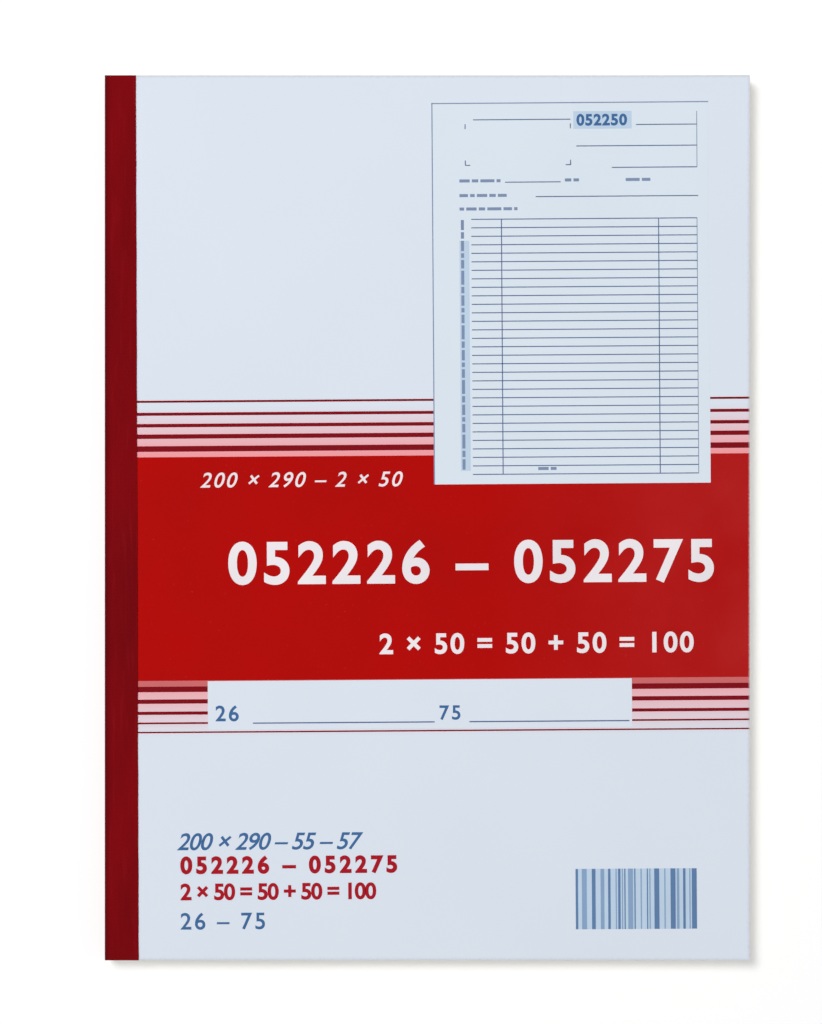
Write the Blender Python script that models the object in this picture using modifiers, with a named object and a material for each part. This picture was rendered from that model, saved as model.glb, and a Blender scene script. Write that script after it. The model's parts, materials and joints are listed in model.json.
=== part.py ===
"""Duplicate order book: numbered sets of an original and a copy leaf, side stitched with wire and
taped over the spine. Metres. X runs from the spine to the fore edge, Y from foot to head, Z up, and
the book lies shut on its back board with the origin under its middle."""

import math

import bmesh
import bpy

# Trimmed size of the shut book, tape included
BOOK_WIDTH = 0.2114
BOOK_HEIGHT = 0.2900

# Leaves: each set is an original with its duplicate under it
SET_COUNT = 50
SINGLE_SETS = 20  # sets from the top whose leaves are made one by one
BLOCK_SETS = 10  # sets in each block of the leaves below those
LEAF_THICKNESS = 0.000065
LEAF_AIR = 0.000013

# Covers and the loose card that is slipped under a set before writing on it
FRONT_COVER_THICKNESS = 0.00035
BACK_BOARD_THICKNESS = 0.0010
CARD_THICKNESS = 0.0004
CARD_INSET = 0.0015
CARD_CORNER_RADIUS = 0.006
CARD_CORNER_STEPS = 6

# Cloth tape wrapped round the spine
TAPE_THICKNESS = 0.00025
TAPE_FLANGE = 0.0107  # how far it reaches over each cover
SHOULDER_STEPS = 8

# Clearances
SEAT_GAP = 0.00005  # between faces that lie on each other
CREASE_FROM_TAPE = 0.0008  # from the tape's edge to the line where cover and leaves fold
CREASE_SLIT = 0.0003
CREASE_LIFT = 0.00025  # folding line above the tape, so that what turns passes over it

# Wire stitches through the bound margin
STAPLE_COUNT = 3
STAPLE_FROM_END = 0.040  # from head and foot to the middle of the stitch nearest to each
STAPLE_FROM_SPINE = 0.0056
STAPLE_CROWN = 0.012
STAPLE_CLINCH = 0.0042
STAPLE_BEND_RADIUS = 0.0007
STAPLE_BEND_STEPS = 4
WIRE_DIAMETER = 0.0005
WIRE_CLEARANCE = 0.00012
WIRE_SINK = 0.00003  # crown and clinch below the faces that they are pressed into

# Levels from the table up
tape_inner_bottom = TAPE_THICKNESS
rebate_top = tape_inner_bottom + SEAT_GAP
board_top = BACK_BOARD_THICKNESS
card_bottom = board_top + SEAT_GAP
leaves_bottom = card_bottom + CARD_THICKNESS + SEAT_GAP
leaf_pitch = LEAF_THICKNESS + LEAF_AIR
leaves_top = leaves_bottom + 2 * SET_COUNT * leaf_pitch - LEAF_AIR
cover_bottom = leaves_top + SEAT_GAP
cover_top = cover_bottom + FRONT_COVER_THICKNESS
tape_inner_top = cover_top + SEAT_GAP
tape_top = tape_inner_top + TAPE_THICKNESS

# Places from the spine to the fore edge
spine_x = -BOOK_WIDTH / 2
fore_edge_x = BOOK_WIDTH / 2
tape_inner_x = spine_x + TAPE_THICKNESS
tape_edge_x = spine_x + TAPE_FLANGE
crease_x = tape_edge_x + CREASE_FROM_TAPE
crease_z = tape_top + CREASE_LIFT
bound_end_x = crease_x - CREASE_SLIT / 2
turning_start_x = crease_x + CREASE_SLIT / 2

# Stitches stand evenly between the two at head and foot
staple_pitch = (BOOK_HEIGHT - 2 * STAPLE_FROM_END) / max(STAPLE_COUNT - 1, 1)

# The tape rounds over the spine within the thickness of each cover, which stops short by that radius
margin_bottom = board_top + SEAT_GAP
margin_top = cover_bottom - SEAT_GAP
front_shoulder_radius = tape_inner_top - margin_top
back_shoulder_radius = margin_bottom - tape_inner_bottom


def linear(channel):
    """One sRGB channel from 0 to 255 as a linear value."""
    value = channel / 255
    return value / 12.92 if value <= 0.04045 else ((value + 0.055) / 1.055) ** 2.4


def make_material(name, srgb, roughness, metallic=0.0):
    material = bpy.data.materials.new(name)
    material.use_nodes = True
    shader = material.node_tree.nodes["Principled BSDF"]
    shader.inputs["Base Color"].default_value = (*map(linear, srgb), 1.0)
    shader.inputs["Roughness"].default_value = roughness
    shader.inputs["Metallic"].default_value = metallic
    material.diffuse_color = shader.inputs["Base Color"].default_value
    return material


def make_collection(name):
    collection = bpy.data.collections.new(name)
    bpy.context.scene.collection.children.link(collection)
    return collection


def place(name, data, location, material=None, parent=None, collection=None):
    """An object in a collection, at a place given in the frame of its parent."""
    obj = bpy.data.objects.new(name, data)
    obj.location = location
    obj.parent = parent
    if material is not None:
        data.materials.clear()
        data.materials.append(material)
    (collection or parts).objects.link(obj)
    return obj


def plate_mesh(name, size):
    """A flat sheet or board, centred on its own origin."""
    mesh = bpy.data.meshes.new(name)
    bm = bmesh.new()
    bmesh.ops.create_cube(bm, size=1.0)
    bmesh.ops.scale(bm, vec=size, verts=bm.verts)
    bm.to_mesh(mesh)
    bm.free()
    return mesh


def round_upright_edges(mesh, radius, steps):
    bm = bmesh.new()
    bm.from_mesh(mesh)
    upright = [edge for edge in bm.edges if edge.verts[0].co.xy == edge.verts[1].co.xy]
    bmesh.ops.bevel(bm, geom=upright, offset=radius, segments=steps, profile=0.5, affect="EDGES")
    bm.to_mesh(mesh)
    bm.free()


def middle(low, high):
    return (low + high) / 2


def plate(name, x_span, z_span, material=None, height=BOOK_HEIGHT, parent=None, collection=None):
    """A plate between two places along X and two levels, hung from a parent empty where it has one."""
    mesh = plate_mesh(name, (x_span[1] - x_span[0], height, z_span[1] - z_span[0]))
    origin = parent.location if parent else (0.0, 0.0, 0.0)
    centre = (middle(*x_span) - origin[0], 0.0, middle(*z_span) - origin[2])
    return place(name, mesh, centre, material, parent, collection)


def arc(centre, radius, start, end, steps):
    """Points on a circle in a plane, between two angles in degrees."""
    turn = [math.radians(start + (end - start) * step / steps) for step in range(steps + 1)]
    return [(centre[0] + radius * math.cos(a), centre[1] + radius * math.sin(a)) for a in turn]


def spine_section():
    """The tape's outer line in XZ: over the front cover, round both shoulders, under the back board."""
    front_radius = front_shoulder_radius + TAPE_THICKNESS
    back_radius = back_shoulder_radius + TAPE_THICKNESS
    front_centre = (spine_x + front_radius, tape_top - front_radius)
    back_centre = (spine_x + back_radius, back_radius)
    points = [(tape_edge_x, tape_top)]
    points += arc(front_centre, front_radius, 90, 180, SHOULDER_STEPS)
    points += arc(back_centre, back_radius, 180, 270, SHOULDER_STEPS)
    points.append((tape_edge_x, 0.0))
    return points


def make_spine_tape():
    bm = bmesh.new()
    foot = [bm.verts.new((x, -BOOK_HEIGHT / 2, z)) for x, z in spine_section()]
    line = [bm.edges.new(ends) for ends in zip(foot, foot[1:])]
    swept = bmesh.ops.extrude_edge_only(bm, edges=line)["geom"]
    head = [v for v in swept if isinstance(v, bmesh.types.BMVert)]
    bmesh.ops.translate(bm, vec=(0.0, BOOK_HEIGHT, 0.0), verts=head)
    mesh = bpy.data.meshes.new("spine_tape")
    bm.to_mesh(mesh)
    bm.free()
    mesh.shade_smooth()
    tape = place("spine_tape", mesh, (0.0, 0.0, 0.0), tape_cloth)
    wall = tape.modifiers.new("cloth thickness", "SOLIDIFY")
    wall.thickness = TAPE_THICKNESS
    wall.offset = -1.0
    wall.use_even_offset = True
    return tape


def staple_line(tip_clearance=0.0):
    """Centre line in YZ: clinched leg, up through the margin, along the crown and back down."""
    radius = WIRE_DIAMETER / 2
    crown_z = cover_top - WIRE_SINK - radius
    clinch_z = rebate_top + WIRE_SINK + radius
    leg_y = STAPLE_CROWN / 2
    bend = STAPLE_BEND_RADIUS
    tip_y = leg_y - STAPLE_CLINCH - tip_clearance
    half = [(tip_y, clinch_z)]
    half += arc((leg_y - bend, clinch_z + bend), bend, 270, 360, STAPLE_BEND_STEPS)
    half += arc((leg_y - bend, crown_z - bend), bend, 0, 90, STAPLE_BEND_STEPS)
    return half + [(-y, z) for y, z in reversed(half)]


def wire_curve(name, points, diameter):
    curve = bpy.data.curves.new(name, "CURVE")
    curve.dimensions = "3D"
    curve.bevel_depth = diameter / 2
    curve.bevel_resolution = 2
    curve.use_fill_caps = True
    spline = curve.splines.new("POLY")
    spline.points.add(len(points) - 1)
    for point, (y, z) in zip(spline.points, points):
        point.co = (0.0, y, z, 1.0)
        point.radius = 1.0
    return curve


def mark_as_cutter(obj):
    obj.hide_render = True
    obj.display_type = "WIRE"


def closed_mesh(obj):
    """The mesh of a wire curve with its caps joined on."""
    bpy.context.view_layer.update()
    evaluated = obj.evaluated_get(bpy.context.evaluated_depsgraph_get())
    mesh = bpy.data.meshes.new_from_object(evaluated)
    bm = bmesh.new()
    bm.from_mesh(mesh)
    bmesh.ops.remove_doubles(bm, verts=bm.verts, dist=WIRE_CLEARANCE / 100)
    bmesh.ops.recalc_face_normals(bm, faces=bm.faces)
    bm.to_mesh(mesh)
    bm.free()
    return mesh


def make_staples():
    """Each stitch with the channel that it presses through cover, margins and board."""
    channel_curve = wire_curve("channel", staple_line(WIRE_CLEARANCE), WIRE_DIAMETER + 2 * WIRE_CLEARANCE)
    guide = place("channel_guide", channel_curve, (0.0, 0.0, 0.0), collection=cutters)
    channel_mesh = closed_mesh(guide)
    bpy.data.objects.remove(guide)
    for index in range(STAPLE_COUNT):
        name = f"staple_{index + 1}"
        spot = (spine_x + STAPLE_FROM_SPINE, (index - (STAPLE_COUNT - 1) / 2) * staple_pitch, 0.0)
        mark_as_cutter(place(name + "_channel", channel_mesh, spot, collection=cutters))
        place(name, wire_curve(name, staple_line(), WIRE_DIAMETER), spot, wire)


def pierce(obj):
    cut = obj.modifiers.new("stitch holes", "BOOLEAN")
    cut.operation = "DIFFERENCE"
    cut.operand_type = "COLLECTION"
    cut.collection = cutters
    cut.solver = "EXACT"


def make_binding():
    """What the stitches hold: the cover's bound strip, the margins of all leaves and the back board."""
    strip = (tape_inner_x + front_shoulder_radius, bound_end_x)
    margin = (tape_inner_x + SEAT_GAP, bound_end_x)
    pierce(plate("front_cover_strip", strip, (cover_bottom, cover_top), cover_card))
    pierce(plate("bound_margins", margin, (margin_bottom, margin_top), margin_paper))
    board_span = (tape_inner_x + back_shoulder_radius, fore_edge_x)
    board = plate("back_board", board_span, (0.0, board_top), board_grey)
    pierce(board)
    rebate_span = (spine_x, tape_edge_x + SEAT_GAP)
    rebate_levels = (-rebate_top, rebate_top)
    rebate = plate("tape_rebate", rebate_span, rebate_levels, height=2 * BOOK_HEIGHT, collection=cutters)
    mark_as_cutter(rebate)


def make_leaves():
    """Single leaves of the upper sets on the folding line, and the sets below them in blocks."""
    leaf_mesh = {}
    leaf_size = (fore_edge_x - turning_start_x, BOOK_HEIGHT, LEAF_THICKNESS)
    for kind, paper in (("original", original_paper), ("duplicate", duplicate_paper)):
        leaf_mesh[kind] = plate_mesh(kind, leaf_size)
        leaf_mesh[kind].materials.append(paper)
    leaf_x = middle(turning_start_x, fore_edge_x) - crease_x
    for index in range(2 * SINGLE_SETS):
        kind = ("original", "duplicate")[index % 2]
        leaf_z = leaves_top - index * leaf_pitch - LEAF_THICKNESS / 2 - crease_z
        place(f"{kind}_{index // 2 + 1:02d}", leaf_mesh[kind], (leaf_x, 0.0, leaf_z), parent=crease)
    for first in range(SINGLE_SETS + 1, SET_COUNT + 1, BLOCK_SETS):
        last = min(first + BLOCK_SETS - 1, SET_COUNT)
        top = leaves_top - 2 * (first - 1) * leaf_pitch
        bottom = leaves_top - 2 * last * leaf_pitch + LEAF_AIR
        plate(f"sets_{first}_to_{last}", (turning_start_x, fore_edge_x), (bottom, top), margin_paper)


def make_writing_card():
    span = (turning_start_x + CARD_INSET, fore_edge_x - CARD_INSET)
    card = plate("writing_card", span, (card_bottom, card_bottom + CARD_THICKNESS), card_manila,
                 height=BOOK_HEIGHT - 2 * CARD_INSET)
    round_upright_edges(card.data, CARD_CORNER_RADIUS, CARD_CORNER_STEPS)


for leftover in list(bpy.data.objects):
    bpy.data.objects.remove(leftover, do_unlink=True)

parts = make_collection("duplicate_order_book")
cutters = make_collection("cutters")

cover_card = make_material("cover_card", (220, 227, 237), 0.35)
board_grey = make_material("back_board", (168, 162, 150), 0.8)
tape_cloth = make_material("spine_tape", (122, 12, 24), 0.6)
original_paper = make_material("original_paper", (246, 246, 243), 0.75)
duplicate_paper = make_material("duplicate_paper", (247, 232, 150), 0.75)
margin_paper = make_material("margin_paper", (244, 239, 214), 0.8)
card_manila = make_material("writing_card", (206, 182, 138), 0.7)
wire = make_material("staple_wire", (190, 190, 188), 0.3, metallic=1.0)

crease = place("crease_line", None, (crease_x, 0.0, crease_z))

make_staples()
make_binding()
make_spine_tape()
make_leaves()
make_writing_card()
plate("front_cover", (turning_start_x, fore_edge_x), (cover_bottom, cover_top), cover_card, parent=crease)
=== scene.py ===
import bmesh
import bpy
import json
import math
import numpy as np
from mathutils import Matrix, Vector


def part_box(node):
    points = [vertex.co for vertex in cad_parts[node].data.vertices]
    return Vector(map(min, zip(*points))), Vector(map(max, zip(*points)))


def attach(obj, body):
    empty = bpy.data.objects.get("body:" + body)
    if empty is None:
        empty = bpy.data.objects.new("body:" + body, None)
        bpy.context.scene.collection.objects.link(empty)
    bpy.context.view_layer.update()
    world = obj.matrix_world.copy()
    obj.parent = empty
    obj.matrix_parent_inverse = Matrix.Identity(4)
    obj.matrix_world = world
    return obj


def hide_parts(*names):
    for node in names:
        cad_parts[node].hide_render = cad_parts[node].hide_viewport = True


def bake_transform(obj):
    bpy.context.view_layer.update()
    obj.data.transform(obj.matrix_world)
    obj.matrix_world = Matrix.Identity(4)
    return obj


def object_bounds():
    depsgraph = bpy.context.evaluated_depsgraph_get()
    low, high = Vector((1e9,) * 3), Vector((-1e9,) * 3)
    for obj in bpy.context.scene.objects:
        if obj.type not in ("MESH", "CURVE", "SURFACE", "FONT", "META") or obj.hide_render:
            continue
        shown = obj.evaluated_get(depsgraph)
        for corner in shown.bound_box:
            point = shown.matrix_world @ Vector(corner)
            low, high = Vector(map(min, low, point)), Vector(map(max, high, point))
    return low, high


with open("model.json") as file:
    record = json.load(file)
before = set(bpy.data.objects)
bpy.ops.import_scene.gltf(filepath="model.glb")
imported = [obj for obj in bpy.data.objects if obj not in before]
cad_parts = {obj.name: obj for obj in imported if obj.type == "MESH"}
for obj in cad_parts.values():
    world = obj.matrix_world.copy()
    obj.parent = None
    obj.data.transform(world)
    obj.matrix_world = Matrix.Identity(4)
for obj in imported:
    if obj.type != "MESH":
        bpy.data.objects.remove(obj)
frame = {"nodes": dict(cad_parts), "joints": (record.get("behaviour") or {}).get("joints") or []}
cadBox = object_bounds()
hinge = next(joint for joint in frame["joints"] if joint["name"] == "front_cover_hinge")
creaseX = hinge["pos_m"][0]
spineX, foot = cadBox[0][0], cadBox[0][1]
foreEdge, head = cadBox[1][0], cadBox[1][1]
mm = 0.001
hardEdge = math.radians(40)  # sharper edges keep their crease in the shading
noiseSpan = (0.3, 0.7)  # most of a noise lies between these
dice = np.random.default_rng(21)
print("frame:", len(frame["nodes"]), "nodes, crease at", round(creaseX, 5))


def cadLevels(node):
    low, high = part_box(node)
    return low[2], high[2]


# Colours as a screen shows them, turned to linear light
def tone(red, green, blue):
    share = np.array([red, green, blue]) / 255
    linear = np.where(share <= 0.04045, share / 12.92, ((share + 0.055) / 1.055) ** 2.4)
    return (*linear.tolist(), 1.0)


def darker(colour, share):
    return (*[share * part for part in colour[:3]], 1.0)


# Shader nodes: a value that is a socket is linked, any other is written in
def put(tree, kind, values=None, **settings):
    node = tree.nodes.new("ShaderNode" + kind)
    for key, value in settings.items():
        setattr(node, key, value)
    for socket, value in (values or {}).items():
        if isinstance(value, bpy.types.NodeSocket):
            tree.links.new(value, node.inputs[socket])
        else:
            node.inputs[socket].default_value = value
    return node


def calc(tree, operation, *values):
    return put(tree, "Math", dict(enumerate(values)), operation=operation).outputs[0]


# The dictionaries give a noise as scale, detail and, where it is drawn out, squeeze
def noise(tree, place, scale, detail, squeeze=(1, 1, 1)):
    moved = put(tree, "Mapping", {"Vector": place, "Scale": squeeze}).outputs[0]
    return put(tree, "TexNoise", {"Vector": moved, "Scale": scale, "Detail": detail}).outputs[0]


# First up to low, last from high on, and even between: the dictionaries give a shade as these four
def spread(tree, value, low, high, first=0.0, last=1.0):
    return put(tree, "MapRange", {0: value, 1: low, 2: high, 3: first, 4: last}, clamp=True).outputs[0]


def mix(tree, factor, under, over):
    return put(tree, "Mix", {0: factor, 6: under, 7: over}, data_type="RGBA").outputs[2]


def between(tree, value, low, high):
    return calc(tree, "COMPARE", value, (low + high) / 2, (high - low) / 2)


def startMaterial(name, gloss=0.5, metal=0.0):
    material = bpy.data.materials.new(name)
    material.use_nodes = True
    shader = material.node_tree.nodes["Principled BSDF"]
    shader.inputs["Specular IOR Level"].default_value = gloss
    shader.inputs["Metallic"].default_value = metal
    return material, material.node_tree, shader


def finishMaterial(tree, shader, colour, rough, height, depth):
    tree.links.new(colour, shader.inputs["Base Color"])
    tree.links.new(rough, shader.inputs["Roughness"])
    bump = put(tree, "Bump", {"Strength": 1.0, "Distance": depth, "Height": height})
    tree.links.new(bump.outputs[0], shader.inputs["Normal"])


# The piece's flat map holds metres on the unbent sheet
def flatMap(tree):
    place = put(tree, "UVMap", uv_map="flat").outputs[0]
    parts = put(tree, "SeparateXYZ", {0: place})
    return place, parts.outputs[0], parts.outputs[1]


# A sheet is two grids of one size, upper and lower, closed by four strips round the edge
def gridQuads(columns, rows):
    top = np.arange(columns * rows).reshape(columns, rows)
    under = top + columns * rows
    upper = [top[:-1, :-1], top[1:, :-1], top[1:, 1:], top[:-1, 1:]]
    lower = [under[:-1, :-1], under[:-1, 1:], under[1:, 1:], under[1:, :-1]]
    edges = [
        [under[:-1, 0], under[1:, 0], top[1:, 0], top[:-1, 0]],
        [under[1:, -1], under[:-1, -1], top[:-1, -1], top[1:, -1]],
        [under[0, 1:], under[0, :-1], top[0, :-1], top[0, 1:]],
        [under[-1, :-1], under[-1, 1:], top[-1, 1:], top[-1, :-1]],
    ]
    quads = [np.stack(part, -1).reshape(-1, 4) for part in (upper, lower)]
    return *quads, np.concatenate([np.stack(edge, -1) for edge in edges])


# One mesh of many sheets, each (upper, lower, flat, slots): slots are for its top, bottom and edges
def makeSheets(name, sheets, materials):
    points, quads, flats, slots, start = [], [], [], [], 0
    for upper, lower, flat, used in sheets:
        columns, rows = upper.shape[:2]
        for part, slot in zip(gridQuads(columns, rows), used):
            quads.append(part + start)
            slots.append(np.full(len(part), slot))
        points += [upper.reshape(-1, 3), lower.reshape(-1, 3)]
        flats += [flat.reshape(-1, 2)] * 2
        start += 2 * columns * rows
    points, quads = np.concatenate(points), np.concatenate(quads)
    mesh = bpy.data.meshes.new(name)
    mesh.vertices.add(len(points))
    mesh.vertices.foreach_set("co", points.astype(np.float32).ravel())
    mesh.loops.add(quads.size)
    mesh.loops.foreach_set("vertex_index", quads.astype(np.int32).ravel())
    mesh.polygons.add(len(quads))
    mesh.polygons.foreach_set("loop_start", np.arange(0, quads.size, 4, dtype=np.int32))
    mesh.polygons.foreach_set("material_index", np.concatenate(slots).astype(np.int32))
    return finishMesh(name, mesh, materials, np.concatenate(flats))


# Materials, flat map and shading of a mesh, and the piece that holds it
def finishMesh(name, mesh, materials, flat):
    for material in materials:
        mesh.materials.append(material)
    mesh.update(calc_edges=True)
    corners = np.empty(len(mesh.loops), np.int32)
    mesh.loops.foreach_get("vertex_index", corners)
    mesh.uv_layers.new(name="flat").uv.foreach_set("vector", flat[corners].astype(np.float32).ravel())
    mesh.shade_smooth()
    mesh.set_sharp_from_angle(angle=hardEdge)
    piece = bpy.data.objects.new(name, mesh)
    bpy.context.scene.collection.objects.link(piece)
    return piece


# A flat sheet on columns x and rows y, from its top level down by its thickness
def flatSheet(x, y, top, thick, slots):
    gridX, gridY = np.meshgrid(x, y, indexing="ij")
    upper = np.stack([gridX, gridY, np.full(gridX.shape, top)], -1)
    return upper, upper - (0, 0, thick), upper[..., :2], slots


# From 0 at low to 1 at high, level at both ends
def smooth(value, low, high):
    share = np.clip((value - low) / (high - low), 0, 1)
    return share * share * (3 - 2 * share)


# Columns close together where the sheet bends, wide apart beyond
def bendColumns(start, bend, fine, coarse):
    near = np.linspace(creaseX, creaseX + bend, fine)
    return np.concatenate([[start], near, np.linspace(creaseX + bend, foreEdge, coarse)[1:]])


# The order form, in millimetres from its lower left corner: small on the cover, at full size on the leaves
orderForm = {
    "size": (90.7, 125.0),
    "table": (12.8, 86.8, 3.2, 86.8),
    "rows": 30,
    "columns": (22.7, 74.2),
    "rules": (
        (67.0, 86.9, 117.5),
        (47.4, 86.9, 110.6),
        (59.0, 86.9, 103.5),
        (24.0, 42.2, 98.9),
        (34.0, 87.2, 94.1),
        (13.6, 45.5, 119.4),
    ),
    "window": (11.0, 45.5, 104.5, 118.0),  # corner ticks round the place of an address
    "tick": 1.6,
    "captions": (
        (9.0, 22.5, 99.4),
        (43.6, 48.2, 99.5),
        (63.5, 72.4, 99.5),
        (9.0, 24.5, 94.6),
        (9.0, 28.0, 90.2),
        (34.2, 40.2, 5.0),
    ),
    "words": (3.4, 2.1, 4.6, 2.8, 1.5),  # lengths of the bars a caption is made of
    "gap": 0.7,
    "number": (46.5, 65.6, 116.2, 122.0),  # tinted field of the number
    "strip": (8.9, 12.1, 4.4, 79.8),  # tinted, with a caption that runs up it
    "stripCaption": (9.9, 4.8, 86.6),
    "side": (86.9, 103.5, 121.8),  # fine line at the ends of the upper rules
}
leafForm = {"scale": 2.204, "origin": (-94.2, -137.75)}


# A place on the form, in metres on a leaf
def onLeaf(value, axis):
    return (leafForm["origin"][axis] + leafForm["scale"] * value) * mm


leafPaper = {
    "white": (246, 246, 243),
    "yellow": (249, 237, 174),
    "deep": 0.965,  # brightness of the darkest clouds
    "cloud": (160, 4),
    "fibre": (2600, 3, (1, 0.35, 1)),
    "fibreShade": (0.55, 0.8, 0, 0.25),
    "gloss": 0.25,
    "rough": (0.72, 0.86),
    "tooth": 0.00003,
    "rule": (128, 146, 172),
    "line": 0.00032,  # width of a printed rule
    "thick": 0.000070,
    "full": 0.92,  # share of a pile that is paper and not air
    "root": 0.00015,  # what lies behind the crease
    "bend": 0.013,
    "columns": (24, 9),  # in the bend and beyond
    "rows": 7,
    "trim": 0.00009,  # a turning leaf is short by up to this at an edge
    "pileTrim": 0.00010,
    "pileGrid": 3,  # columns and rows of a leaf in a pile
}


# Where the table is ruled: rows at one pitch across it, an upright at each column and both sides
def ruledLines(tree, u, v):
    left, right = [onLeaf(edge, 0) for edge in orderForm["table"][:2]]
    low, high = [onLeaf(edge, 1) for edge in orderForm["table"][2:]]
    line, pitch = leafPaper["line"], (high - low) / orderForm["rows"]
    row = calc(tree, "FRACT", calc(tree, "DIVIDE", calc(tree, "SUBTRACT", v, low), pitch))
    ruled = calc(tree, "LESS_THAN", row, line / pitch)
    lines = calc(tree, "MULTIPLY", ruled, between(tree, u, left, right))
    for x in (left, *[onLeaf(column, 0) for column in orderForm["columns"]], right):
        lines = calc(tree, "MAXIMUM", lines, between(tree, u, x - line / 2, x + line / 2))
    return calc(tree, "MULTIPLY", lines, between(tree, v, low, high + line))


# Paper: slow clouds and fine fibres along the leaf, with the table's rules on a printed side
def paper(name, colour, ruled):
    material, tree, shader = startMaterial(name, leafPaper["gloss"])
    place, u, v = flatMap(tree)
    base = tone(*colour)
    deep = darker(base, leafPaper["deep"])
    cloud = noise(tree, place, *leafPaper["cloud"])
    fibre = noise(tree, place, *leafPaper["fibre"])
    sheet = mix(tree, spread(tree, cloud, *noiseSpan), base, deep)
    sheet = mix(tree, spread(tree, fibre, *leafPaper["fibreShade"]), sheet, deep)
    if ruled:
        sheet = mix(tree, ruledLines(tree, u, v), sheet, tone(*leafPaper["rule"]))
    rough = spread(tree, cloud, *noiseSpan, *leafPaper["rough"])
    finishMaterial(tree, shader, sheet, rough, fibre, leafPaper["tooth"])
    return material


whitePlain = paper("white leaf, plain", leafPaper["white"], False)
whiteRuled = paper("white leaf, ruled", leafPaper["white"], True)
yellowPlain = paper("yellow leaf, plain", leafPaper["yellow"], False)
yellowRuled = paper("yellow leaf, ruled", leafPaper["yellow"], True)


# Each turning leaf is one thin sheet from the bound margin to the fore edge, trimmed a hair unevenly
def makeLeaf(kind, number, materials):
    node = f"{kind}_{number:02d}"
    top = cadLevels(node)[1]
    trim = dice.uniform(0, leafPaper["trim"], 3)
    x = bendColumns(creaseX - leafPaper["root"], leafPaper["bend"], *leafPaper["columns"])
    x[-1] -= trim[0]
    y = np.linspace(foot + trim[1], head - trim[2], leafPaper["rows"])
    sheet = flatSheet(x, y, top, leafPaper["thick"], (0, 1, 1))
    leaf = makeSheets(f"{kind}Leaf{number:02d}", [sheet], materials)
    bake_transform(leaf)
    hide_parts(node)


singles = sorted(int(node[-2:]) for node in frame["nodes"] if node.startswith("original_"))
for number in singles:
    makeLeaf("original", number, [whiteRuled, whitePlain])
    makeLeaf("duplicate", number, [yellowRuled, yellowPlain])
print("leaves:", 2 * len(singles))


# A pile of leaves between two levels, white and yellow in turn from the top. Each is trimmed a hair
# unevenly at the ends and, where the pile is loose, at the fore edge.
def makePile(name, node, count, left, loose):
    low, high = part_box(node)
    pitch = (high[2] - low[2]) / count
    sheets = []
    for index, trim in enumerate(dice.uniform(0, leafPaper["pileTrim"], (count, 3))):
        x = np.linspace(left, high[0] - loose * trim[0], leafPaper["pileGrid"])
        y = np.linspace(low[1] + trim[1], high[1] - trim[2], leafPaper["pileGrid"])
        top = high[2] - index * pitch
        sheets.append(flatSheet(x, y, top, leafPaper["full"] * pitch, (index % 2,) * 3))
    pile = makeSheets(name, sheets, [whitePlain, yellowPlain])
    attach(pile, "binding")
    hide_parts(node)


# A pile's node is named for its first and last set, and a set is two leaves
piles = sorted(node for node in frame["nodes"] if node.startswith("sets_"))
marginLow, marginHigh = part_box("bound_margins")
for node in piles:
    firstSet, lastSet = int(node[5:7]), int(node[-2:])
    makePile(f"pile{firstSet}", node, 2 * (lastSet - firstSet + 1), marginHigh[0], True)
makePile("marginPile", "bound_margins", 2 * lastSet, marginLow[0], False)
print("piles:", len(piles) + 1)

coverCard = {
    "white": (221, 229, 240),
    "shade": (215, 223, 235),
    # grey of the free edges: partly soil, partly painted shade
    "soil": (192, 195, 201),
    "tint": (243, 147, 151),  # pale red that fades out beside the stripes
    "tintAbove": (0.0165, 0.95),  # how far and how strong
    "tintBelow": (0.0185, 0.9),
    "cloud": (18, 3),
    "cloudShade": (0.3, 0.8, 0, 0.4),
    "grain": (900, 4),
    "grainShade": (0.6, 0.8, 0, 0.08),
    "pores": (4200, 2),
    "rubShade": (0.0005, 0.0016, 0.6, 0),  # soil and painted shade, by the distance from the free edges
    "ragged": 0.0012,  # what the grain adds to that distance
    "gloss": 0.3,
    "rough": (0.28, 0.31),
    "tooth": 0.0000012,
    "bend": 0.0010,  # the scored fold is sharp
    "score": (0.00004, 0.0005),  # depth and width
    "cornerLift": 0.00055,
    "curlAcross": (0.351, 0.65),  # start and length, as shares of the way from the middle to the edge
    "curlAlong": (0.451, 0.55),
    "wave": 0.00005,
    "waveTurns": (41, 27),  # in radians a metre
    "waveStart": 1.3,
    "settle": 0.03,  # the wave grows from the crease over this
    "columns": (8, 24, 40),  # under the tape, in the bend and beyond
    "rows": 60,
}
cardInside = {
    "colour": (226, 224, 217),
    "deep": 0.86,
    "fibre": (700, 5, (1, 0.3, 1)),
    "fibreShade": (0.4, 0.75),
    "gloss": 0.2,
    "rough": (0.74, 0.9),
    "tooth": 0.00004,
}

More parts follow.
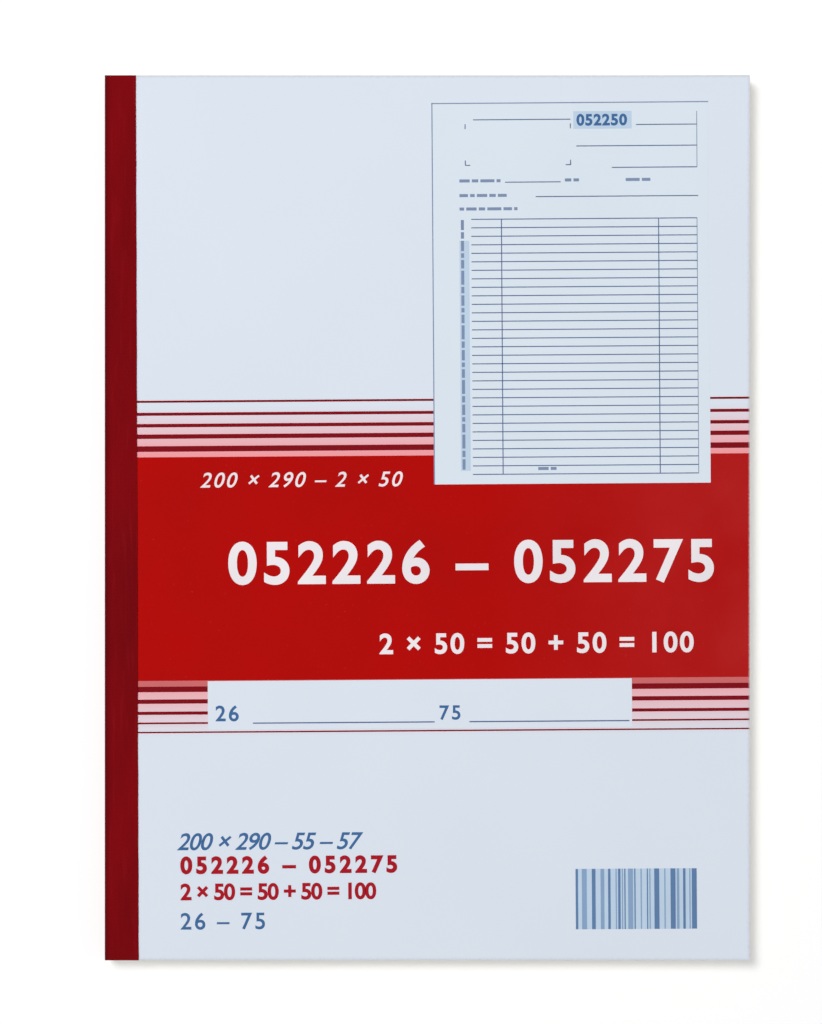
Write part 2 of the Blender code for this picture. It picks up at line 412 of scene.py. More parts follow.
# What is printed on the cover, in millimetres from its middle: x to the fore edge, y to the head
coverPrint = {
    "tilt": 0.0069,  # the print stands a little askew on the trimmed card
    "left": -95.9,
    "band": (-52.85, 20.45),
    "above": ((2.7, 1.85), (6.75, 1.45), (10.35, 1.15), (14.1, 1.0), (18.2, 0.7)),  # place and weight
    "below": ((2.8, 1.8), (6.8, 1.4), (10.6, 1.05), (13.9, 0.6), (16.9, 0.5)),
    "haze": (0.95, 1.9),  # half tone between the band and the first stripe below it
    "stripeColumns": (16, 30),  # in the bend and beyond
    "form": (2.3, 10.9),  # lower left corner of the printed form
    "formEdge": 0.35,
    "lineWeight": 0.32,
    "fineWeight": 0.24,
    "captionHeight": 1.0,
    "panel": (-72.3, 66.7, -69.0, -53.05),
    "panelRules": ((-57.6, 2.0, -66.9), (13.4, 65.8, -66.9)),
    "panelWeight": 0.4,
    "bars": (47.8, 87.5, -135.2, -115.4),
    "barCount": 21,
    "barSteps": 4,  # the widest bar is so many times the finest
    "film": 0.02,
    "levels": {"ground": 1, "paper": 2, "bar": 2, "tint": 2.6, "fine": 2.8, "rule": 3},  # in films
    "numeralLevels": (3, 1),  # top and bottom
    "step": 8,  # a film is divided at most so far apart, to follow the card
}
film = coverPrint["film"]
formOrigin = coverPrint["form"]
coverBottom, coverTop = cadLevels("front_cover")
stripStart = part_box("front_cover_strip")[0][0]


# Height over the flat card: the free corners curl up with the square of the way to them, a slow wave runs
# over the rest, and a shallow score marks the crease
def coverLift(x, y):
    start, length = coverCard["curlAcross"]
    across = np.clip((x / foreEdge - start) / length, 0, 1)
    start, length = coverCard["curlAlong"]
    along = np.clip((np.abs(y) / head - start) / length, 0, 1)
    corner = coverCard["cornerLift"] * across ** 2 * along ** 2
    turnX, turnY = coverCard["waveTurns"]
    wave = 1 + np.sin(turnX * x + coverCard["waveStart"]) * np.cos(turnY * y)
    wave = wave * coverCard["wave"] * smooth(x, creaseX, creaseX + coverCard["settle"])
    depth, width = coverCard["score"]
    return corner + wave - depth * np.exp(-((x - creaseX) / width) ** 2)


# Points over the card, at a level in millimetres above its face
def onCard(x, y, level):
    return np.stack([x, y, coverTop + coverLift(x, y) + level * mm], -1)


# Points of the print, turned about the middle of the cover and laid on the card
def onCover(px, py, level):
    turn = coverPrint["tilt"]
    x = (px * math.cos(turn) - py * math.sin(turn)) * mm
    y = (px * math.sin(turn) + py * math.cos(turn)) * mm
    return onCard(x, y, level)


# Coated card: faint clouds and grain, a pale tint beside the band, and soil with painted shade darkening
# the free edges
def coatedCard():
    material, tree, shader = startMaterial("coated card", coverCard["gloss"])
    place, u, v = flatMap(tree)
    cloud = noise(tree, place, *coverCard["cloud"])
    grain = noise(tree, place, *coverCard["grain"])
    pores = noise(tree, place, *coverCard["pores"])
    shade = tone(*coverCard["shade"])
    card = mix(tree, spread(tree, cloud, *coverCard["cloudShade"]), tone(*coverCard["white"]), shade)
    card = mix(tree, spread(tree, grain, *coverCard["grainShade"]), card, shade)
    straight = calc(tree, "MULTIPLY_ADD", u, -coverPrint["tilt"], v)
    low, high = [edge * mm for edge in coverPrint["band"]]
    reach, strength = coverCard["tintAbove"]
    above = spread(tree, straight, high, high + reach, strength, 0)
    reach, strength = coverCard["tintBelow"]
    below = spread(tree, straight, low - reach, low, 0, strength)
    card = mix(tree, calc(tree, "MINIMUM", above, below), card, tone(*coverCard["tint"]))
    # The free edges darken: partly soil, partly a painted shade of the trimmed edge
    toFore = calc(tree, "SUBTRACT", foreEdge, u)
    toEnd = calc(tree, "SUBTRACT", head, calc(tree, "ABSOLUTE", v))
    inset = calc(tree, "MINIMUM", toFore, toEnd)
    ragged = calc(tree, "MULTIPLY_ADD", grain, coverCard["ragged"], inset)
    card = mix(tree, spread(tree, ragged, *coverCard["rubShade"]), card, tone(*coverCard["soil"]))
    rough = spread(tree, cloud, *noiseSpan, *coverCard["rough"])
    finishMaterial(tree, shader, card, rough, pores, coverCard["tooth"])
    return material


# The uncoated side and the cut edges, with fibres along the card
def rawCard():
    material, tree, shader = startMaterial("uncoated card", cardInside["gloss"])
    fibre = noise(tree, flatMap(tree)[0], *cardInside["fibre"])
    base = tone(*cardInside["colour"])
    deep = darker(base, cardInside["deep"])
    card = mix(tree, spread(tree, fibre, *cardInside["fibreShade"]), base, deep)
    rough = spread(tree, fibre, *noiseSpan, *cardInside["rough"])
    finishMaterial(tree, shader, card, rough, fibre, cardInside["tooth"])
    return material


inks = {
    "red": (180, 7, 4),
    "redHaze": (179, 33, 33),  # painted sheen: the red paler towards the fore edge
    "stripeRed": (132, 14, 26),
    "halfRed": (207, 108, 110),
    "slate": (84, 103, 144),
    "faint": (128, 145, 177),
    "blue": (66, 108, 158),
    "barBlue": (98, 130, 172),
    "softBlue": (138, 166, 200),
    "paleBlue": (193, 213, 233),
    "white": (240, 234, 238),
    "form": (219, 229, 239),
    "textRed": (172, 24, 38),
}
inkFilm = {
    "fade": (0.02, 0.11),  # between these an ink goes over to its second tone, the band's painted sheen
    "cloud": (30, 4),
    "cloudShade": (0.35, 0.7, 0, 0.7),
    "uneven": 0.05,  # by which the clouds are darker
    "evenPaper": 0.012,  # the same on the grounds of form and panel
    "speck": (1500, 4),
    "speckShade": (0.68, 0.9, 0, 0.12),
    "rubShade": (0.0003, 0.0009, 0.5, 0),  # bare card, by the distance from the fore edge
    "ragged": 0.0008,  # what the specks add to that distance
    "gloss": 0.22,
    "rough": (0.2, 0.27),
    "tooth": 0.000005,
}


# Ink: a colour with cloudy density, fine specks, where given a painted sheen towards the fore edge and,
# where it is rubbed, a worn fore edge
def ink(name, colour, sheenTone=None, rubbed=False, uneven=inkFilm["uneven"]):
    material, tree, shader = startMaterial("ink, " + name, inkFilm["gloss"])
    place, u = flatMap(tree)[:2]
    cloud = noise(tree, place, *inkFilm["cloud"])
    speck = noise(tree, place, *inkFilm["speck"])
    layer, deep = tone(*colour), tone(*[(1 - uneven) * part for part in colour])
    bare = tone(*coverCard["white"])
    # painted sheen: the second tone is paler towards the fore edge
    if sheenTone:
        layer = mix(tree, spread(tree, u, *inkFilm["fade"]), layer, tone(*sheenTone))
    layer = mix(tree, spread(tree, cloud, *inkFilm["cloudShade"]), layer, deep)
    layer = mix(tree, spread(tree, speck, *inkFilm["speckShade"]), layer, bare)
    if rubbed:
        toFore = calc(tree, "SUBTRACT", foreEdge, u)
        ragged = calc(tree, "MULTIPLY_ADD", speck, inkFilm["ragged"], toFore)
        layer = mix(tree, spread(tree, ragged, *inkFilm["rubShade"]), layer, bare)
    rough = spread(tree, cloud, *noiseSpan, *inkFilm["rough"])
    finishMaterial(tree, shader, layer, rough, speck, inkFilm["tooth"])
    return material


def filmLines(start, stop):
    return np.linspace(start, stop, 2 + int((stop - start) / coverPrint["step"]))


# A printed box: a film that follows the card, two films thick, so that it reaches down into what it lies on
def inkBox(box, layer, slot=0):
    left, right, low, high = box
    level = coverPrint["levels"][layer] * film
    px, py = np.meshgrid(filmLines(left, right), filmLines(low, high), indexing="ij")
    flat = np.stack([px, py], -1) * mm
    return onCover(px, py, level), onCover(px, py, level - 2 * film), flat, (slot,) * 3


# A printed stripe right across: its edges keep to the tilt, its ends to the tape and the fore edge
def inkStripe(low, high, slot=0):
    x = bendColumns(coverPrint["left"] * mm, coverCard["bend"], *coverPrint["stripeColumns"])
    gridX, straight = np.meshgrid(x, filmLines(low, high) * mm, indexing="ij")
    upper = onCard(gridX, straight + math.tan(coverPrint["tilt"]) * gridX, film)
    return upper, upper - (0, 0, 2 * film * mm), np.stack([gridX, straight], -1), (slot,) * 3


# What crosses the crease keeps its place baked into its mesh, and the rest rides on the cover
def rideCover(piece, crossing=False):
    if crossing:
        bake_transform(piece)
    else:
        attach(piece, "front_cover")


# The card is one grid from under the tape to the fore edge, raised by its lift
def makeCover():
    bound, fine, coarse = coverCard["columns"]
    under = np.linspace(stripStart, creaseX, bound)[:-1]
    x = np.concatenate([under, bendColumns(creaseX, coverCard["bend"], fine, coarse)[1:]])
    gridX, gridY = np.meshgrid(x, np.linspace(foot, head, coverCard["rows"]), indexing="ij")
    upper = onCard(gridX, gridY, 0)
    sheet = (upper, upper - (0, 0, coverTop - coverBottom), upper[..., :2], (0, 1, 1))
    cover = makeSheets("coverCard", [sheet], [coatedCard(), rawCard()])
    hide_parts("front_cover", "front_cover_strip")
    rideCover(cover, True)


# The broad band, the stripes on both sides of it and the half tone below it
def makeBand():
    low, high = coverPrint["band"]
    bandInk = ink("red", inks["red"], inks["redHaze"], True)
    rideCover(makeSheets("printBand", [inkStripe(low, high)], [bandInk]), True)
    lines = [(high + at, weight, 0) for at, weight in coverPrint["above"]]
    lines += [(low - at, weight, 0) for at, weight in coverPrint["below"]]
    at, weight = coverPrint["haze"]
    lines.append((low - at, weight, 1))
    stripes = [inkStripe(at - weight / 2, at + weight / 2, slot) for at, weight, slot in lines]
    stripeInk = ink("stripe red", inks["stripeRed"], rubbed=True)
    hazeInk = ink("half red", inks["halfRed"], rubbed=True)
    rideCover(makeSheets("printStripes", stripes, [stripeInk, hazeInk]), True)


makeCover()
makeBand()
print("cover and band printed")


# Boxes of one weight along level lines (left, right, y) and upright lines (x, low, high)
def levelBoxes(lines, scale, weight):
    half = weight / 2
    return [(a * scale, b * scale, y * scale - half, y * scale + half) for a, b, y in lines]


def uprightBoxes(lines, scale, weight):
    half = weight / 2
    return [(x * scale - half, x * scale + half, a * scale, b * scale) for x, a, b in lines]


# Lines of the form: rules, table, columns and ticks get one weight whatever the scale of the form
def formLines(scale, weight):
    left, right, low, high = orderForm["table"]
    level = [(left, right, y) for y in np.linspace(low, high, orderForm["rows"] + 1)]
    level += orderForm["rules"]
    upright = [(x, low, high) for x in orderForm["columns"]]
    winLeft, winRight, winLow, winHigh = orderForm["window"]
    tick = orderForm["tick"]
    for x, way in ((winLeft, 1), (winRight, -1)):
        level.append((*sorted((x, x + way * tick)), winLow))
        upright += [(x, winLow, winLow + tick), (x, winHigh - tick, winHigh)]
    return levelBoxes(level, scale, weight) + uprightBoxes(upright, scale, weight)


# Fine lines: the table's right edge and the ends of the upper rules
def sideLines(scale, weight):
    return uprightBoxes((orderForm["table"][1:], orderForm["side"]), scale, weight)


# Ends of the short bars that fill a line from start to stop, the first of them one of the lengths
def wordBars(start, stop, first=0):
    words = orderForm["words"]
    lengths = np.roll(np.tile(words, 1 + int((stop - start) / sum(words))), -first)
    starts = start + np.concatenate([[0], np.cumsum(lengths + orderForm["gap"])[:-1]])
    return [(a, min(a + b, stop)) for a, b in zip(starts, lengths) if a < stop - orderForm["gap"]]


# A caption is a row of short bars, and one runs up the strip beside the table
def captionBars(scale, height):
    level = []
    for first, (left, right, y) in enumerate(orderForm["captions"]):
        level += [(a, b, y) for a, b in wordBars(left, right, first)]
    x, low, high = orderForm["stripCaption"]
    upright = [(x, a, b) for a, b in wordBars(low, high)]
    return levelBoxes(level, scale, height) + uprightBoxes(upright, scale, height)


def shifted(boxes, origin):
    return [(a + origin[0], b + origin[0], c + origin[1], d + origin[1]) for a, b, c, d in boxes]


# The white grounds of the form and the panel
def makePrintPaper():
    width, height = orderForm["size"]
    boxes = [inkBox(box, "paper") for box in shifted([(0, width, 0, height)], formOrigin)]
    boxes.append(inkBox(coverPrint["panel"], "paper", 1))
    formPaper = ink("form paper", inks["form"], uneven=inkFilm["evenPaper"])
    panelPaper = ink("panel paper", coverCard["white"], uneven=inkFilm["evenPaper"])
    rideCover(makeSheets("printPaper", boxes, [formPaper, panelPaper]))


# The form's lines and the panel's rules in slate, the form's edges, fine lines and captions fainter
def makePrintRules():
    width, height = orderForm["size"]
    edge = coverPrint["formEdge"]
    slate = shifted(formLines(1.0, coverPrint["lineWeight"]), formOrigin)
    slate += levelBoxes(coverPrint["panelRules"], 1.0, coverPrint["panelWeight"])
    faint = [(0, width, height - edge, height), (0, edge, 0, height)]
    faint += sideLines(1.0, coverPrint["fineWeight"])
    faint += captionBars(1.0, coverPrint["captionHeight"])
    boxes = [inkBox(box, "rule") for box in slate]
    boxes += [inkBox(box, "fine", 1) for box in shifted(faint, formOrigin)]
    ruleInks = [ink("slate", inks["slate"]), ink("faint", inks["faint"])]
    rideCover(makeSheets("printRules", boxes, ruleInks))


# Tinted fields of the form, and in the corner a pale ground with bars of two tones and chance widths
def makePrintBlue():
    tinted = shifted([orderForm["strip"], orderForm["number"]], formOrigin)
    boxes = [inkBox(box, "tint") for box in tinted]
    left, right, low, high = coverPrint["bars"]
    widths = dice.integers(1, coverPrint["barSteps"] + 1, 2 * coverPrint["barCount"] - 1)
    edges = left + (right - left) * np.cumsum([0, *widths]) / widths.sum()
    boxes.append(inkBox(coverPrint["bars"], "ground"))
    for index, (start, stop) in enumerate(zip(edges[0::2], edges[1::2])):
        boxes.append(inkBox((start, stop, low, high), "bar", 1 + index % 2))
    blues = [ink(name, inks[name]) for name in ("paleBlue", "barBlue", "softBlue")]
    rideCover(makeSheets("printBlue", boxes, blues))


makePrintPaper()
makePrintRules()
makePrintBlue()

# Plain numerals: text, digit height, left and foot of the line, spacing, ink, weight, slant
numerals = {
    "numeralOver": ("200 × 290 – 2 × 50", 5.0, (-74.3, 10.3), 1.2, "white", 0.01, 0.28),
    "numeralRange": ("052226 – 052275", 14.6, (-65.3, -21.8), 1.197, "white", 0.026, 0.0),
    "numeralSets": ("2 × 50 = 50 + 50 = 100", 6.9, (-15.9, -44.7), 1.16, "white", 0.026, 0.0),
    "numeralFirst": ("26", 5.3, (-69.8, -66.3), 1.2, "blue", 0.018, 0.0),
    "numeralLast": ("75", 4.8, (3.6, -66.3), 1.24, "blue", 0.018, 0.0),
    "numeralSize": ("200 × 290 – 55 – 57", 5.7, (-82.7, -108.5), 0.93, "blue", 0.012, 0.28),
    "numeralCount": ("052226 – 052275", 6.1, (-81.7, -116.4), 1.347, "textRed", 0.042, 0.0),
    "numeralSum": ("2 × 50 = 50 + 50 = 100", 5.6, (-81.7, -124.9), 0.92, "textRed", 0.03, 0.0),
    "numeralLeft": ("26 – 75", 5.6, (-81.7, -134.5), 1.21, "blue", 0.012, 0.0),
    "numeralForm": ("052250", 3.9, (49.8, 128.1), 1.12, "blue", 0.04, 0.0),
}
numeralMesh = {"extrude": 0.1, "arcSteps": 8, "merge": 0.0005}  # at the size the text is made
numeralInks = {name: ink("numeral " + name, inks[name]) for name in ("white", "blue", "textRed")}


def layOnCover(px, py, top):
    return onCover(px, py, np.where(top, *coverPrint["numeralLevels"]) * film)


# Text as a closed thin solid, scaled to its digit height and laid on a sheet from its left end
def makeNumerals(name, text, height, start, spacing, inkName, weight, slant, lay):
    curve = bpy.data.curves.new(name, "FONT")
    curve.body, curve.shear, curve.offset, curve.space_character = text, slant, weight, spacing
    curve.extrude, curve.resolution_u = numeralMesh["extrude"], numeralMesh["arcSteps"]
    maker = bpy.data.objects.new(name + "Maker", curve)
    bpy.context.scene.collection.objects.link(maker)
    graph = bpy.context.evaluated_depsgraph_get()
    mesh = bpy.data.meshes.new_from_object(maker.evaluated_get(graph))
    bpy.data.objects.remove(maker)
    build = bmesh.new()
    build.from_mesh(mesh)
    bmesh.ops.remove_doubles(build, verts=build.verts, dist=numeralMesh["merge"])
    bmesh.ops.recalc_face_normals(build, faces=build.faces)
    build.to_mesh(mesh)
    build.free()
    points = np.empty(len(mesh.vertices) * 3, np.float32)
    mesh.vertices.foreach_get("co", points)
    x, y, z = points.reshape(-1, 3).astype(float).T
    scale = height / np.ptp(y)
    px = start[0] + scale * (x - x.min())
    py = start[1] + scale * (y - y.min())
    mesh.vertices.foreach_set("co", lay(px, py, z > 0).astype(np.float32).ravel())
    print(name, "runs from", round(px.min(), 1), "to", round(px.max(), 1), "mm")
    return finishMesh(name, mesh, [numeralInks[inkName]], np.stack([px, py], -1) * mm)


for name, row in numerals.items():
    rideCover(makeNumerals(name, *row, layOnCover))
print("cover print:", len(numerals), "lines of numerals")

# The page the book opens on: the same form at full size, its number and the line of slits it tears off by
openPage = {
    "rise": 0.006,  # of the ink, below the next leaf
    "sink": 0.010,
    "lineWeight": 0.3,
    "captionHeight": 1.5,
    "number": ("052246", 6.5, (10.5, 121.0), 1.1, "textRed", 0.03, 0.0),
    "slits": (-90.2, 0.18, 1.5, 2.5),  # place, width, length and pitch
    "slitStart": 1.0,  # from the foot
}
pageTop = cadLevels(piles[0])[1]


def layOnPage(px, py, top):
    level = np.where(top, openPage["rise"], -openPage["sink"])
    return np.stack([px * mm, py * mm, pageTop + level * mm], -1)


# A printed box on the page, from its rise down to its sink
def pageBox(box, slot):
    x, y = np.array(box[:2]) * mm, np.array(box[2:]) * mm
    rise, sink = openPage["rise"] * mm, openPage["sink"] * mm
    return flatSheet(x, y, pageTop + rise, rise + sink, (slot,) * 3)


def makePagePrint():
    scale, origin, weight = leafForm["scale"], leafForm["origin"], openPage["lineWeight"]
    boxes = [pageBox(box, 0) for box in shifted(formLines(scale, weight), origin)]
    faint = sideLines(scale, weight) + captionBars(scale, openPage["captionHeight"])
    boxes += [pageBox(box, 1) for box in shifted(faint, origin)]
    place, width, length, pitch = openPage["slits"]
    for y in np.arange(foot / mm + openPage["slitStart"], head / mm - length, pitch):
        boxes.append(pageBox((place - width / 2, place + width / 2, y, y + length), 1))
    pageInks = [ink("page rules", leafPaper["rule"]), ink("page faint", inks["faint"])]
    pagePrint = makeSheets("pagePrint", boxes, pageInks)
    number = makeNumerals("pageNumber", *openPage["number"], layOnPage)
    for piece in (pagePrint, number):
        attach(piece, "binding")


makePagePrint()
print("page printed")

spineCloth = {
    "red": (135, 7, 15),
    "dark": (92, 5, 13),
    "worn": (148, 20, 27),
    "cloud": (60, 4, (1, 0.25, 1)),
    "cloudShade": (0.35, 0.7, 0, 0.5),
    "slub": (700, 3, (1, 0.08, 1)),
    "slubShade": (0.55, 0.8, 0, 0.5),
    "thread": 0.00046,
    "weaveShade": (0.0, 0.45, 0.35, 0),  # painted shade between the threads
    "deep": (72, 4, 12),  # painted shade along the shoulder, where the cloth turns away from the light
    # strength of the painted shade along the shoulder
    "soil": 0.65,
    "soilWidth": 0.0011,
    "gloss": 0.1,
    "rough": (0.72, 0.5),  # between the threads and on top of them
    "tooth": 0.00006,
    "thick": 0.00025,
    "wrap": 0.0003,  # what the shoulder's radius has over the cover's thickness
    "slant": 0.00046,  # the front edge leaves the spine towards the foot
    "frontWave": (0.00004, 310, 97),  # height of the edge's wave, and its turns in radians a metre
    "backWave": (0.00005, 260),
    "ridge": (0.00010, 0.0005),  # height and width of a stitch pressing through
    "ridgeEnd": (0.001, 0.0005),  # it rises from so far outside the wire to so far inside
    "rows": 180,
    "steps": (18, 9, 14),  # across a face, round a shoulder and down the back
}
stitchNumbers = (1, 2, 3)
tapeLow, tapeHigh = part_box("spine_tape")
stitches = [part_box(f"staple_{number}") for number in stitchNumbers]


# The section of the cloth as rows of x, z and outward direction: over the cover, round the shoulder, down
# the back and under the board. Its two edges wave a little along the spine.
def clothSection(y):
    radius = coverTop - cadLevels("bound_margins")[1] + spineCloth["wrap"]
    height, turn, slow = spineCloth["frontWave"]
    edge = tapeHigh[0] - spineCloth["slant"] * y / head + height * np.sin(turn * y) * np.sin(slow * y)
    height, turn = spineCloth["backWave"]
    backEdge = tapeHigh[0] + height * np.sin(turn * y + 1)
    across, bent, down = spineCloth["steps"]
    steps = np.linspace(0, 1, across)[:, None]
    angle = np.linspace(0, math.pi / 2, bent)[:, None]
    sine, cosine = np.sin(angle), np.cos(angle)
    topZ, lowZ = tapeHigh[2], tapeLow[2]
    fall = np.linspace(topZ - radius, lowZ + radius, down)[1:-1, None]
    middle = spineX + radius
    level, upright = 0 * steps, 0 * fall
    sections = [
        (edge + steps * (middle - edge), level + topZ, level, level + 1),
        (middle - radius * sine, topZ - radius + radius * cosine, -sine, cosine),
        (upright + spineX, fall, upright - 1, upright),
        (middle - radius * cosine, lowZ + radius - radius * sine, -cosine, -sine),
        (middle + steps * (backEdge - middle), level + lowZ, level, level - 1),
    ]
    wide = [[np.broadcast_to(part, (len(part), len(y))) for part in section] for section in sections]
    return [np.concatenate(parts) for parts in zip(*wide)]


# Cloth carried along the spine: the stitches raise its section outwards, and the wall goes inwards
def makeSpineCloth():
    y = np.linspace(foot, head, spineCloth["rows"])
    x, z, outX, outZ = clothSection(y)
    gridY = np.broadcast_to(y, x.shape)
    raised = np.zeros(x.shape)
    height, width = spineCloth["ridge"]
    outside, inside = spineCloth["ridgeEnd"]
    for low, high in stitches:
        along = smooth(gridY, low[1] - outside, low[1] + inside)
        along = along * smooth(-gridY, -high[1] - outside, -high[1] + inside)
        middle = (low[0] + high[0]) / 2
        raised += height * along * np.exp(-((x - middle) / width) ** 2) * (outZ > 0.5)
    thick = spineCloth["thick"]
    upper = np.stack([x + outX * raised, gridY, z + outZ * raised], -1)
    lower = np.stack([x - outX * thick, gridY, z - outZ * thick], -1)
    way = np.zeros(x.shape)
    way[1:] = np.cumsum(np.hypot(np.diff(x, axis=0), np.diff(z, axis=0)), axis=0)
    flat = np.stack([way, gridY], -1)
    sheet = (upper[::-1], lower[::-1], flat[::-1], (0, 0, 0))
    cloth = makeSheets("spineCloth", [sheet], [clothMaterial()])
    across, bent = spineCloth["steps"][:2]
    # Painted shade: a band along the shoulder, kept in the shoulder attribute
    shoulder = np.exp(-((way - way[across + bent // 2]) / spineCloth["soilWidth"]) ** 2)
    attribute = cloth.data.attributes.new("shoulder", "FLOAT", "POINT")
    attribute.data.foreach_set("value", np.tile(shoulder[::-1].ravel(), 2).astype(np.float32))
    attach(cloth, "binding")
    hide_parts("spine_tape")


# Plain weave: warp and weft are the sines of the two ways on the cloth, and the warp lies on top where
# their product is above zero
def clothMaterial():
    material, tree, shader = startMaterial("spine cloth", spineCloth["gloss"])
    place, u, v = flatMap(tree)
    beat = math.pi / spineCloth["thread"]
    warp = calc(tree, "SINE", calc(tree, "MULTIPLY", u, beat))
    weft = calc(tree, "SINE", calc(tree, "MULTIPLY", v, beat))
    over = calc(tree, "GREATER_THAN", calc(tree, "MULTIPLY", warp, weft), 0)
    weave = mix(tree, over, calc(tree, "ABSOLUTE", weft), calc(tree, "ABSOLUTE", warp))
    cloud = noise(tree, place, *spineCloth["cloud"])
    slub = noise(tree, place, *spineCloth["slub"])
    dark = tone(*spineCloth["dark"])
    cloth = mix(tree, spread(tree, cloud, *spineCloth["cloudShade"]), tone(*spineCloth["red"]), dark)
    cloth = mix(tree, spread(tree, slub, *spineCloth["slubShade"]), cloth, tone(*spineCloth["worn"]))
    # painted shade darkens the cloth between the threads
    cloth = mix(tree, spread(tree, weave, *spineCloth["weaveShade"]), cloth, dark)
    # Painted shade along the shoulder
    shoulder = put(tree, "Attribute", attribute_name="shoulder").outputs["Fac"]
    paintedShoulderShade = spread(tree, shoulder, 0, 1, 0, spineCloth["soil"])
    cloth = mix(tree, paintedShoulderShade, cloth, tone(*spineCloth["deep"]))
    rough = spread(tree, weave, 0, 1, *spineCloth["rough"])
    finishMaterial(tree, shader, cloth, rough, weave, spineCloth["tooth"])
    return material


makeSpineCloth()
print("spine cloth done")

# Boards and wire keep their solids and get a finish on Object coordinates
boards = {
    "back_board": {
        "name": "grey board",
        "base": (166, 160, 149),
        "fleck": (188, 183, 172),
        "rough": (0.82, 0.9),
        "fibreScale": 420,
    },
    "writing_card": {
        "name": "manila card",
        "base": (212, 190, 148),
        "fleck": (224, 206, 170),
        "rough": (0.72, 0.8),
        "fibreScale": 520,
    },
}
boardGrain = {
    "cloud": (45, 4),
    "cloudShade": (0.35, 0.7, 0, 0.5),
    "cloudTone": 0.95,  # of the base
    "fibre": (5, (1, 0.3, 1)),  # detail and squeeze
    "fibreShade": (0.52, 0.72, 0, 0.6),
    "speckScale": 2.3,  # of the fibres' scale
    "speckDetail": 2,
    "speckShade": (0.66, 0.76, 0, 0.7),
    "speckTone": 0.55,
    "gloss": 0.2,
    "tooth": 0.00006,
}
wire = {
    "bright": (196, 196, 194),
    "dull": (150, 150, 148),
    "grain": (1800, 3),
    "rough": (0.25, 0.45),
    "tooth": 0.00001,
}


# Pressed board: slow clouds, pale fibres along it and dark specks
def boardMaterial(name, base, fleck, rough, fibreScale):
    material, tree, shader = startMaterial(name, boardGrain["gloss"])
    place = put(tree, "TexCoord").outputs["Object"]
    cloud = noise(tree, place, *boardGrain["cloud"])
    fibre = noise(tree, place, fibreScale, *boardGrain["fibre"])
    speck = noise(tree, place, boardGrain["speckScale"] * fibreScale, boardGrain["speckDetail"])
    cloudy = tone(*[boardGrain["cloudTone"] * part for part in base])
    dark = tone(*[boardGrain["speckTone"] * part for part in base])
    board = mix(tree, spread(tree, cloud, *boardGrain["cloudShade"]), tone(*base), cloudy)
    board = mix(tree, spread(tree, fibre, *boardGrain["fibreShade"]), board, tone(*fleck))
    board = mix(tree, spread(tree, speck, *boardGrain["speckShade"]), board, dark)
    finishMaterial(tree, shader, board, spread(tree, fibre, *noiseSpan, *rough), fibre, boardGrain["tooth"])
    return material


def wireMaterial():
    material, tree, shader = startMaterial("stitching wire", metal=1.0)
    grain = noise(tree, put(tree, "TexCoord").outputs["Object"], *wire["grain"])
    colour = mix(tree, grain, tone(*wire["bright"]), tone(*wire["dull"]))
    rough = spread(tree, grain, *noiseSpan, *wire["rough"])
    finishMaterial(tree, shader, colour, rough, grain, wire["tooth"])
    return material


def dress(node, material):
    mesh = frame["nodes"][node].data
    mesh.materials.clear()
    mesh.materials.append(material)


for node, finish in boards.items():
    dress(node, boardMaterial(**finish))
steel = wireMaterial()
for number in stitchNumbers:
    dress(f"staple_{number}", steel)
print("boards and wire dressed")

# Stage: white floor, soft key from the head and spine side, even fill, camera straight above
studio = {
    "lens": 100.0,
    "sensor": 36.0,
    "frameHeight": 0.3356,  # what the picture's long side shows at the cover
    "aim": (-0.0053, 0.0019),
    "keyPlace": (-0.86, 0.86, 2.8),
    "keySize": 0.95,
    "keyPower": 72.0,
    "fill": 0.30,
    "ceiling": (0.25, 0.85, 1.0, 0.1),  # brightness by height: what shines back from straight above is dim
    "floorHalf": 3.0,
    "floorMatt": (0.985, 0.985, 0.985, 1),
    "floorGlow": 1.1,
    "floorShine": (0.3, 1.1, 0.37, 1.0),  # share that shines by itself, by the distance from the book
}
white = (1, 1, 1, 1)


# Rays that see the stage as white: from the camera, off a gloss or through something clear
def seenRays(tree):
    rays = put(tree, "LightPath").outputs
    seen = calc(tree, "MAXIMUM", rays["Is Camera Ray"], rays["Is Glossy Ray"])
    return calc(tree, "MAXIMUM", seen, rays["Is Transmission Ray"])


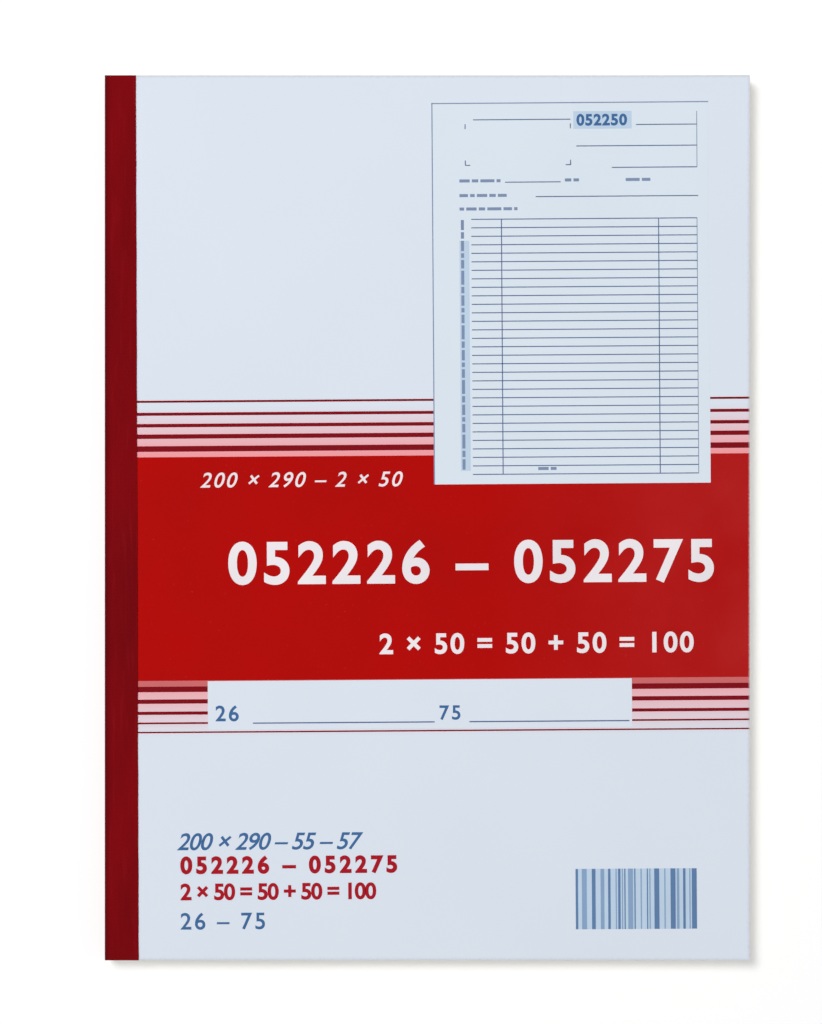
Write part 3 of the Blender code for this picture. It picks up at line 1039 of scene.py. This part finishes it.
# A flat plate level with the back board: matt for the shadow, and shining more and more further away
def makeFloor():
    half, level = studio["floorHalf"], cadBox[0][2]
    corners = [(-half, -half, level), (half, -half, level), (half, half, level), (-half, half, level)]
    plate = bpy.data.meshes.new("floor")
    plate.from_pydata(corners, [], [(0, 1, 2, 3)])
    floor = bpy.data.objects.new("floor", plate)
    bpy.context.scene.collection.objects.link(floor)
    material = bpy.data.materials.new("white floor")
    material.use_nodes = True
    tree = material.node_tree
    tree.nodes.clear()
    seen = seenRays(tree)
    matt = put(tree, "BsdfDiffuse", {"Color": studio["floorMatt"]}).outputs[0]
    glow = put(tree, "Emission", {"Color": white, "Strength": studio["floorGlow"]}).outputs[0]
    place = put(tree, "TexCoord").outputs["Object"]
    away = put(tree, "VectorMath", {0: place}, operation="LENGTH").outputs["Value"]
    share = calc(tree, "MULTIPLY", seen, spread(tree, away, *studio["floorShine"]))
    both = put(tree, "MixShader", {0: share, 1: matt, 2: glow}).outputs[0]
    put(tree, "OutputMaterial", {"Surface": both})
    plate.materials.append(material)


# Even fill on the book, and a white sky where it is seen
def makeSky():
    world = bpy.data.worlds.new("studio")
    bpy.context.scene.world = world
    world.use_nodes = True
    tree = world.node_tree
    tree.nodes.clear()
    seen = seenRays(tree)
    fill = put(tree, "Background", {"Color": white, "Strength": studio["fill"]}).outputs[0]
    up = put(tree, "SeparateXYZ", {0: put(tree, "TexCoord").outputs["Generated"]}).outputs[2]
    ceiling = spread(tree, up, *studio["ceiling"])
    sky = put(tree, "Background", {"Color": white, "Strength": ceiling}).outputs[0]
    both = put(tree, "MixShader", {0: seen, 1: fill, 2: sky}).outputs[0]
    put(tree, "OutputWorld", {"Surface": both})


def makeKey():
    lamp = bpy.data.lights.new("key", "AREA")
    lamp.size, lamp.energy = studio["keySize"], studio["keyPower"]
    key = bpy.data.objects.new("key", lamp)
    key.location = studio["keyPlace"]
    key.rotation_euler = (-key.location).to_track_quat("-Z", "Y").to_euler()
    key.visible_glossy = False
    bpy.context.scene.collection.objects.link(key)


def makeCamera():
    lens = bpy.data.cameras.new("camera")
    lens.lens, lens.sensor_width = studio["lens"], studio["sensor"]
    camera = bpy.data.objects.new("camera", lens)
    distance = studio["frameHeight"] * studio["lens"] / studio["sensor"]
    camera.location = (*studio["aim"], coverTop + distance)
    bpy.context.scene.collection.objects.link(camera)
    bpy.context.scene.camera = camera


bpy.context.scene.view_settings.view_transform = "Standard"
makeFloor()
makeSky()
makeKey()
makeCamera()
print("stage set")
